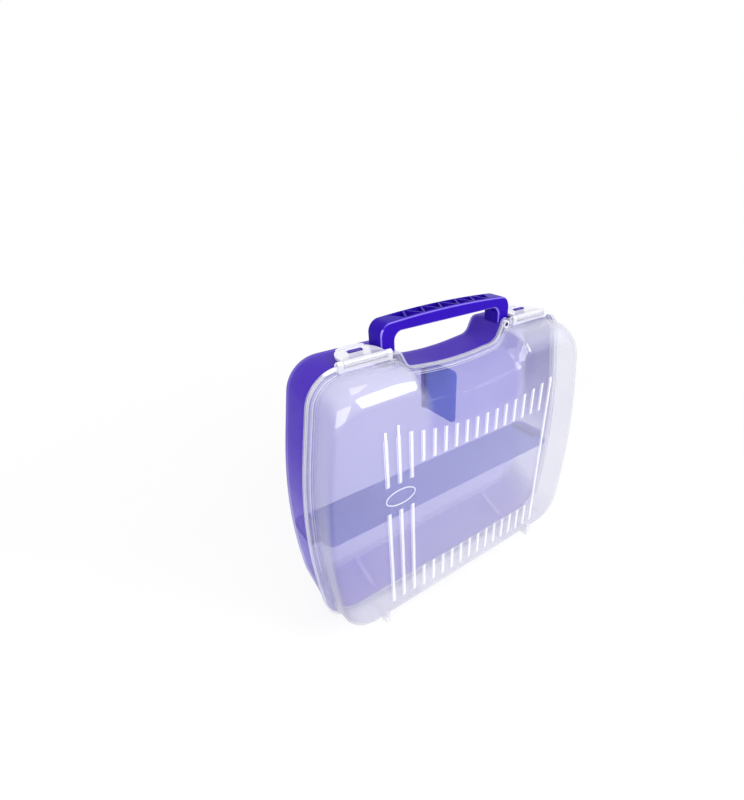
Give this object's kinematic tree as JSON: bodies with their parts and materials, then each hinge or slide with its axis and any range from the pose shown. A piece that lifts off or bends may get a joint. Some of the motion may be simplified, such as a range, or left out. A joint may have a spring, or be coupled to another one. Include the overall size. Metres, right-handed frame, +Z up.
{
  "type": "art supply box",
  "caption": "Upright carry box for art supplies: tinted tub, clear domed lid hinged along its lower edge, flip latches, bow handle and push-in dividers.",
  "frame": {"origin": "under the middle of the closed box, on the floor that its feet stand on", "axes": "+X across the box to the right seen from the front, +Y from the lid to the tub's back, +Z up"},
  "size_m": [0.3298, 0.084, 0.299],
  "materials": {
    "tinted_plastic": "translucent violet polypropylene, satin",
    "clear_plastic": "clear polypropylene with a slight haze",
    "handle_plastic": "deep violet polypropylene, satin",
    "pin_steel": "drawn wire"
  },
  "bodies": {
    "tub": {"base_tub": "tinted_plastic", "handle": "handle_plastic", "hinge_pin_left": "pin_steel", "hinge_pin_right": "pin_steel", "shelf_divider": "tinted_plastic", "centre_divider": "tinted_plastic"},
    "lid": {"lid_shell": "clear_plastic", "latch_pin_left": "pin_steel", "latch_pin_right": "pin_steel"},
    "left_latch": {"latch_left": "clear_plastic"},
    "right_latch": {"latch_right": "clear_plastic"}
  },
  "joints": [
    {"name": "lid_hinge", "type": "hinge", "parent": "tub", "child": "lid", "pos_m": [0, -0.004, 0.003], "axis": [1, 0, 0], "range_deg": [0, 180]},
    {"name": "left_latch_pivot", "type": "hinge", "parent": "lid", "child": "left_latch", "pos_m": [-0.0955, -0.0086, 0.2766], "axis": [1, 0, 0], "range_deg": [0, 110]},
    {"name": "right_latch_pivot", "type": "hinge", "parent": "lid", "child": "right_latch", "pos_m": [0.0955, -0.0086, 0.2766], "axis": [1, 0, 0], "range_deg": [0, 110]}
  ]
}
